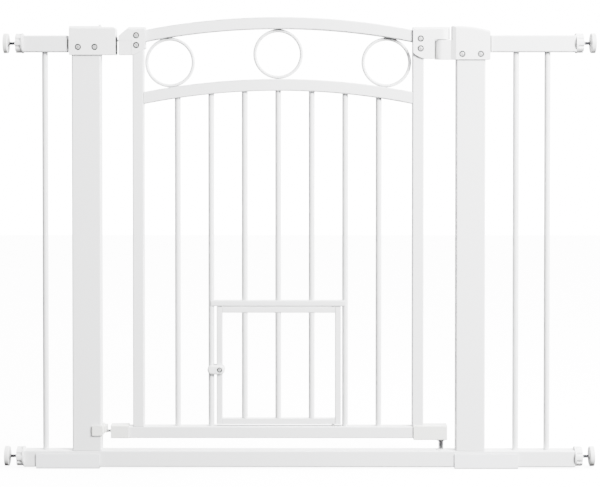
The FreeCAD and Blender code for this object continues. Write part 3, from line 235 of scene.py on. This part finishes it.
def paint_crevice_shade(tree, target, reach):
    """Paint shade into a colour: multiply it by how open the surface is, so that seams and recesses go
    dark.
    """
    colour = target.links[0].from_socket
    occlusion = tree.nodes.new("ShaderNodeAmbientOcclusion")
    occlusion.samples = SHADE_SAMPLES
    socket(occlusion, "Distance", reach)
    shade_amount = tree.nodes.new("ShaderNodeMapRange")
    socket(shade_amount, "From Min", SHADE_CLOSED)
    socket(shade_amount, "From Max", SHADE_OPEN)
    socket(shade_amount, "To Min", SHADE_DARKEST)
    socket(shade_amount, "To Max", 1.0)
    multiply = tree.nodes.new("ShaderNodeVectorMath")
    multiply.operation = "MULTIPLY"
    tree.links.new(occlusion.outputs["AO"], shade_amount.inputs["Value"])
    tree.links.new(colour, multiply.inputs[0])
    tree.links.new(shade_amount.outputs["Result"], multiply.inputs[1])
    tree.links.new(multiply.outputs["Vector"], target)


def powder_coat(name, colour):
    """Powder coat: fine orange peel with slight clouds, and painted shade in its seams and recesses."""
    material, tree, shader = new_material(name)
    clouds = add_noise(tree, 9.0, 3.0, 0.5)
    add_ramp(tree, clouds.outputs["Fac"], shader.inputs["Base Color"], shade(colour, 0.985), colour)
    paint_crevice_shade(tree, shader.inputs["Base Color"], PAINT_SHADE_REACH)
    peel = add_noise(tree, 900.0, 2.0, 0.55)
    add_range(tree, peel.outputs["Fac"], shader.inputs["Roughness"], 0.34, 0.42)
    add_bump(tree, shader, peel.outputs["Fac"], 0.22, 0.0003)
    socket(shader, "Specular IOR Level", 0.45)
    return material


def moulded_plastic(name, colour, roughness, grain, shade_reach):
    """Moulded plastic with a fine spark-eroded grain and faint flow variation, and painted shade in its
    seams and recesses.
    """
    material, tree, shader = new_material(name)
    flow = add_noise(tree, 30.0, 2.0, 0.5)
    add_ramp(tree, flow.outputs["Fac"], shader.inputs["Base Color"], shade(colour, 0.98), colour)
    paint_crevice_shade(tree, shader.inputs["Base Color"], shade_reach)
    texture = add_noise(tree, grain, 3.0, 0.6)
    add_range(tree, texture.outputs["Fac"], shader.inputs["Roughness"], roughness, roughness + 0.1)
    add_bump(tree, shader, texture.outputs["Fac"], 0.15, 0.0002)
    return material


def steel_and_painted_shadow(name, colour, roughness, stretch, metallic):
    """Steel with fine drawn marks, stretched along one axis; metallic 0 gives the flat black of the painted
    shadow rings.
    """
    material, tree, shader = new_material(name)
    coordinates = tree.nodes.new("ShaderNodeTexCoord")
    mapping = tree.nodes.new("ShaderNodeMapping")
    socket(mapping, "Scale", stretch)
    marks = tree.nodes.new("ShaderNodeTexNoise")
    socket(marks, "Scale", 400.0)
    socket(marks, "Detail", 4.0)
    tree.links.new(coordinates.outputs["Object"], mapping.inputs["Vector"])
    tree.links.new(mapping.outputs["Vector"], marks.inputs["Vector"])
    add_ramp(tree, marks.outputs["Fac"], shader.inputs["Base Color"], shade(colour, 0.8), colour)
    add_range(tree, marks.outputs["Fac"], shader.inputs["Roughness"], roughness, roughness + 0.15)
    add_bump(tree, shader, marks.outputs["Fac"], 0.1, 0.0002)
    socket(shader, "Metallic", metallic)
    return material


def floor_material(name, glow):
    """Matt white that glows, so that the ground around the gate reads as plain white."""
    material, tree, shader = new_material(name)
    clouds = add_noise(tree, 2.0, 2.0, 0.5)
    clouded = shade(FLOOR_COLOUR, 0.99)
    add_ramp(tree, clouds.outputs["Fac"], shader.inputs["Base Color"], clouded, FLOOR_COLOUR)
    socket(shader, "Roughness", 0.6)
    socket(shader, "Emission Color", (1.0, 1.0, 1.0, 1.0))
    socket(shader, "Emission Strength", glow)
    return material


PAINT = powder_coat("white powder coat", PAINT_COLOUR)
BRACKET_PAINT = powder_coat("cool white powder coat", BRACKET_COLOUR)
PLASTIC = moulded_plastic("white moulded plastic", PLASTIC_COLOUR, 0.3, 1200.0, PLASTIC_SHADE_REACH)
WARM_PLASTIC = moulded_plastic("warm white nylon", WARM_COLOUR, 0.4, 1400.0, PLASTIC_SHADE_REACH)
# Rubber buffer, black partly as painted shade of the narrow gap it sits in
BUFFER_AND_GAP_SHADE = moulded_plastic("black rubber buffer and painted gap shade", BUFFER_AND_GAP_SHADE_COLOUR, 0.6, 900.0, PLASTIC_SHADE_REACH)
PAD_PLASTIC = moulded_plastic("off-white pad plastic", PAD_COLOUR, 0.42, 1500.0, PAD_SHADE_REACH)
BRIGHT_STEEL = steel_and_painted_shadow("bright zinc screw", SCREW_COLOUR, 0.35, EVEN_MARKS, 0.35)
PIN_STEEL = steel_and_painted_shadow("drawn steel pin", PIN_COLOUR, 0.22, MARKS_ALONG_Z, 1.0)
SHADOW_RING = steel_and_painted_shadow("painted recess shadow ring", SHADOW_RING_COLOUR, 0.6, EVEN_MARKS, 0.0)
ROD_STEEL = steel_and_painted_shadow("dark zinc thread", ROD_COLOUR, 0.35, MARKS_ALONG_X, 0.6)
SLOT_MATERIALS = {
    "white_paint": PAINT,
    "white_plastic": PLASTIC,
    "pad_plastic": PAD_PLASTIC,
    "warm_white_plastic": WARM_PLASTIC,
    "dark_rubber": BUFFER_AND_GAP_SHADE,
    "bright_steel": BRIGHT_STEEL,
    "zinc_steel": ROD_STEEL,
}
NODE_MATERIALS = {
    "joint_brackets": BRACKET_PAINT,
    "latch_pin": PIN_STEEL,
    "lower_hinge_pin": PIN_STEEL,
    "upper_hinge_pin": PIN_STEEL,
}


def smooth(obj, angle):
    """Smooth shading, with edges past the angle kept sharp."""
    for polygon in obj.data.polygons:
        polygon.use_smooth = True
    for edge in obj.data.edges:
        edge.use_edge_sharp = False
    obj.data.set_sharp_from_angle(angle=angle)


def dress_frame():
    """Give each CAD node its finish."""
    slots = {entry["node"]: entry["material_slot"] for entry in frame["record"]["subparts"]}
    for name, obj in frame["nodes"].items():
        obj.data.materials.clear()
        obj.data.materials.append(NODE_MATERIALS.get(name, SLOT_MATERIALS[slots[name]]))


def new_object(name, data):
    """Put a mesh, light or camera into the scene."""
    obj = bpy.data.objects.new(name, data)
    bpy.context.scene.collection.objects.link(obj)
    return obj


def middle_of(node):
    """Centre of a CAD node's box."""
    low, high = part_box(node)
    return (Vector(low) + Vector(high)) / 2


def finish_piece(name, mesh, material, body, angle):
    """Turn a bmesh into a smooth-shaded piece that rides on a body."""
    bmesh.ops.recalc_face_normals(mesh, faces=mesh.faces)
    data = bpy.data.meshes.new(name)
    mesh.to_mesh(data)
    mesh.free()
    obj = new_object(name, data)
    smooth(obj, angle)
    data.materials.append(material)
    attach(obj, body)
    return obj


def join_rings(mesh, first, second):
    """Faces between two rings of as many corners each."""
    sides = len(first)
    for corner in range(sides):
        following = (corner + 1) % sides
        mesh.faces.new((first[corner], first[following], second[following], second[corner]))


def skin(mesh, rings):
    """Closed surface through a row of rings."""
    for first, second in zip(rings, rings[1:]):
        join_rings(mesh, first, second)
    mesh.faces.new(rings[0])
    mesh.faces.new(rings[-1])


def loose_parts(node):
    """Lowest and highest corners of each separate solid in a CAD node, left to right."""
    mesh = bmesh.new()
    mesh.from_mesh(frame["nodes"][node].data)
    bmesh.ops.remove_doubles(mesh, verts=mesh.verts, dist=0.001 * MM)
    waiting = set(mesh.verts)
    boxes = []
    while waiting:
        group = [waiting.pop()]
        for vertex in group:
            for edge in vertex.link_edges:
                other = edge.other_vert(vertex)
                if other in waiting:
                    waiting.remove(other)
                    group.append(other)
        low = tuple(min(vertex.co[axis] for vertex in group) for axis in range(3))
        high = tuple(max(vertex.co[axis] for vertex in group) for axis in range(3))
        boxes.append((low, high))
    mesh.free()
    return sorted(boxes)


def ring_about_y(mesh, x, z, radius, y):
    """Ring of vertices around a screw's axis, which lies along Y."""
    ring = []
    for corner in range(SCREW_SIDES):
        angle = 2 * math.pi * corner / SCREW_SIDES
        ring.append(mesh.verts.new((x + radius * math.cos(angle), y, z + radius * math.sin(angle))))
    return ring


def in_cross(across, up, arm):
    """Whether a point of a screw head lies in the arms of its cross."""
    level = abs(up) < CROSS_HALF_WIDTH and abs(across) < arm
    upright = abs(across) < CROSS_HALF_WIDTH and abs(up) < arm
    return level or upright


def add_screw(mesh, low, high, head_height):
    """Domed head with a sunk cross, and a shank with a pointed end."""
    x = (low[0] + high[0]) / 2
    z = (low[2] + high[2]) / 2
    radius = (high[0] - low[0]) / 2
    front = low[1]
    seat = front + head_height
    shank = radius * SHANK_SHARE
    rings = []
    for index in range(1, DOME_RINGS + 1):
        share = index / DOME_RINGS
        rings.append(ring_about_y(mesh, x, z, radius * share * DOME_SHARE, front + DOME_DROP * share ** 2))
    dome_vertices = [vertex for ring in rings for vertex in ring]
    rings.append(ring_about_y(mesh, x, z, radius, front + RIM_DROP))
    rings.append(ring_about_y(mesh, x, z, radius, seat))
    rings.append(ring_about_y(mesh, x, z, shank, seat))
    rings.append(ring_about_y(mesh, x, z, shank, high[1] - shank))
    rings.append(ring_about_y(mesh, x, z, shank * TIP_SHARE, high[1]))
    for vertex in dome_vertices:
        if in_cross(vertex.co.x - x, vertex.co.z - z, radius * CROSS_ARM_SHARE):
            vertex.co.y = front + CROSS_DEPTH
    skin(mesh, rings)


def add_shadow_ring(mesh, low, high, head_height, outer):
    """Flat black ring that lies in the recess around a screw head, as painted shadow of the recess."""
    x = (low[0] + high[0]) / 2
    z = (low[2] + high[2]) / 2
    inner = (high[0] - low[0]) / 2 + RING_GAP
    back = low[1] + head_height - RING_LIFT
    front = back - RING_THICKNESS
    bevel = [(outer - RING_GAP, front), (outer, front + RING_GAP)]
    profile = [(inner, back), (inner, front)] + bevel + [(outer, back)]
    rings = [ring_about_y(mesh, x, z, radius, y) for radius, y in profile]
    for first, second in zip(rings, rings[1:] + rings[:1]):
        join_rings(mesh, first, second)


def screw_set(node, body, head_height, outer):
    """Detailed screws in place of a node of plain ones, with black rings of painted recess shadow around
    them.
    """
    screws = bmesh.new()
    rings = bmesh.new()
    for low, high in loose_parts(node):
        add_screw(screws, low, high, head_height)
        add_shadow_ring(rings, low, high, head_height, outer)
    heads = finish_piece(node + "_heads", screws, BRIGHT_STEEL, body, SCREW_SHARP)
    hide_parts(node)
    finish_piece(node + "_shadow_rings", rings, SHADOW_RING, body, SCREW_SHARP)


def add_screws():
    """The screws of the post heads, the door heads and the pet latch."""
    screw_set("post_head_screws", "frame", HEAD_SCREW_HEIGHT, HEAD_SHADOW_RING_RADIUS)
    screw_set("door_head_screws", "door", HEAD_SCREW_HEIGHT, HEAD_SHADOW_RING_RADIUS)
    screw_set("pet_latch_screw", "pet_latch", LATCH_SCREW_HEIGHT, LATCH_SHADOW_RING_RADIUS)


def lock_spring():
    """Coil between its stop and the slider, built as one fixed mesh on the frame."""
    low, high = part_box("lock_spring")
    joints = {joint["name"]: joint for joint in frame["record"]["behaviour"]["joints"]}
    travel = -joints["lock_slide"]["range_m"][0]
    start = low[0] - travel + SPRING_WIRE_RADIUS
    end = high[0] - SPRING_WIRE_RADIUS
    centre = middle_of("lock_spring")
    radius = (high[2] - low[2]) / 2 - SPRING_WIRE_RADIUS
    mesh = bmesh.new()
    count = SPRING_TURNS * SPRING_STEPS_PER_TURN
    rings = []
    for index in range(count + 1):
        angle = 2 * math.pi * index / SPRING_STEPS_PER_TURN
        x = start + (end - start) * index / count
        outward = Vector((0, math.cos(angle), math.sin(angle)))
        middle = Vector((x, centre.y, centre.z)) + outward * radius
        ring = []
        for corner in range(SPRING_WIRE_SIDES):
            turn = 2 * math.pi * corner / SPRING_WIRE_SIDES
            offset = outward * math.cos(turn) + Vector((1, 0, 0)) * math.sin(turn)
            ring.append(mesh.verts.new(middle + offset * SPRING_WIRE_RADIUS))
        rings.append(ring)
    skin(mesh, rings)
    coil = finish_piece("lock_spring_coil", mesh, PIN_STEEL, "frame", SPRING_SHARP)
    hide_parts("lock_spring")
    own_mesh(coil)


def threaded_rod(node, body, side):
    """Rod with a helical thread along X in place of the plain CAD rod; side sets the hand of the thread."""
    low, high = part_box(node)
    centre = middle_of(node)
    crest = (high[2] - low[2]) / 2
    root = crest - THREAD_DEPTH
    mesh = bmesh.new()
    rings = []
    length = high[0] - low[0]
    count = int(length / THREAD_PITCH * STEPS_PER_PITCH)
    for index in range(count + 1):
        x = low[0] + length * index / count
        ring = []
        for corner in range(THREAD_SIDES):
            angle = 2 * math.pi * corner / THREAD_SIDES
            phase = (x / THREAD_PITCH + side * corner / THREAD_SIDES) % 1.0
            height = 1 - abs(2 * phase - 1)
            radius = root + (crest - root) * height
            if index in (0, count):
                radius = root * ROD_END_SHARE
            y = centre.y + radius * math.cos(angle)
            z = centre.z + radius * math.sin(angle)
            ring.append(mesh.verts.new((x, y, z)))
        rings.append(ring)
    skin(mesh, rings)
    rod = finish_piece(node + "_thread", mesh, ROD_STEEL, body, THREAD_SHARP)
    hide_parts(node)


def add_rods():
    """The four threaded rods, one at each corner of the gate."""
    for height in ("upper", "lower"):
        for name, side in (("left", -1), ("right", 1)):
            place = height + "_" + name
            threaded_rod(place + "_rod", place + "_spindle", side)


def stage_piece(name, profile, half_width, material):
    """Sheet that follows a profile of (y, z) points across the scene."""
    mesh = bmesh.new()
    left = [mesh.verts.new((-half_width, y, z)) for y, z in profile]
    right = [mesh.verts.new((half_width, y, z)) for y, z in profile]
    for index in range(len(profile) - 1):
        mesh.faces.new((left[index], right[index], right[index + 1], left[index + 1]))
    data = bpy.data.meshes.new(name)
    mesh.to_mesh(data)
    mesh.free()
    obj = new_object(name, data)
    for polygon in data.polygons:
        polygon.use_smooth = True
    data.materials.append(material)
    obj.visible_diffuse = False
    obj.visible_glossy = False
    obj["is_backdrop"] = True


def studio():
    """Pale floor and a backdrop that curves up well behind the gate."""
    floor_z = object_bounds()[0][2]
    floor = floor_material("pale studio floor", FLOOR_GLOW)
    backdrop = floor_material("pale backdrop", WALL_GLOW)
    stage_piece("studio_floor", [(FLOOR_FRONT, floor_z), (BEND_START, floor_z)], STAGE_HALF_WIDTH, floor)
    profile = [(BEND_START, floor_z)]
    for index in range(1, BEND_STEPS + 1):
        angle = math.pi / 2 * index / BEND_STEPS
        y = BEND_START + BEND_RADIUS * math.sin(angle)
        z = floor_z + BEND_RADIUS * (1 - math.cos(angle))
        profile.append((y, z))
    profile.append((BEND_START + BEND_RADIUS, WALL_TOP))
    stage_piece("studio_backdrop", profile, STAGE_HALF_WIDTH, backdrop)


def area_light(name, place, target, size, power):
    """Rectangular light at a place, turned towards a target."""
    light = bpy.data.lights.new(name, "AREA")
    light.shape = "RECTANGLE"
    light.size = size[0]
    light.size_y = size[1]
    light.energy = power
    obj = new_object(name, light)
    obj.location = place
    obj.rotation_euler = (Vector(target) - Vector(place)).to_track_quat("-Z", "Y").to_euler()
    obj.visible_camera = False


def dome_light():
    """Soft tent around the gate: bright overhead, behind and to the right, dim below and to the left."""
    world = bpy.data.worlds.new("studio")
    bpy.context.scene.world = world
    world.use_nodes = True
    tree = world.node_tree
    background = tree.nodes["Background"]
    socket(background, "Color", (1.0, 1.0, 1.0, 1.0))
    coordinates = tree.nodes.new("ShaderNodeTexCoord")
    slope = tree.nodes.new("ShaderNodeVectorMath")
    slope.operation = "DOT_PRODUCT"
    slope.inputs[1].default_value = DOME_SLOPE
    level = tree.nodes.new("ShaderNodeMath")
    level.operation = "ADD"
    level.inputs[1].default_value = DOME_LEVEL
    floor_level = tree.nodes.new("ShaderNodeMath")
    floor_level.operation = "MAXIMUM"
    floor_level.inputs[1].default_value = DOME_DARKEST
    tree.links.new(coordinates.outputs["Generated"], slope.inputs[0])
    tree.links.new(slope.outputs["Value"], level.inputs[0])
    tree.links.new(level.outputs["Value"], floor_level.inputs[0])
    tree.links.new(floor_level.outputs["Value"], background.inputs["Strength"])


def lights():
    area_light("key", KEY_PLACE, KEY_TARGET, KEY_SIZE, KEY_POWER)
    dome_light()


def camera():
    data = bpy.data.cameras.new("camera")
    obj = new_object("camera", data)
    data.lens = CAMERA_LENS
    data.sensor_width = SENSOR_WIDTH
    data.shift_x = SHIFT_X
    data.shift_y = SHIFT_Y
    obj.location = (CAMERA_SIDE, -CAMERA_DISTANCE, CAMERA_HEIGHT)
    obj.rotation_euler = (math.pi / 2 + CAMERA_PITCH, 0, CAMERA_YAW)
    bpy.context.scene.camera = obj


dress_frame()
add_rods()
add_screws()
lock_spring()
studio()
lights()
camera()
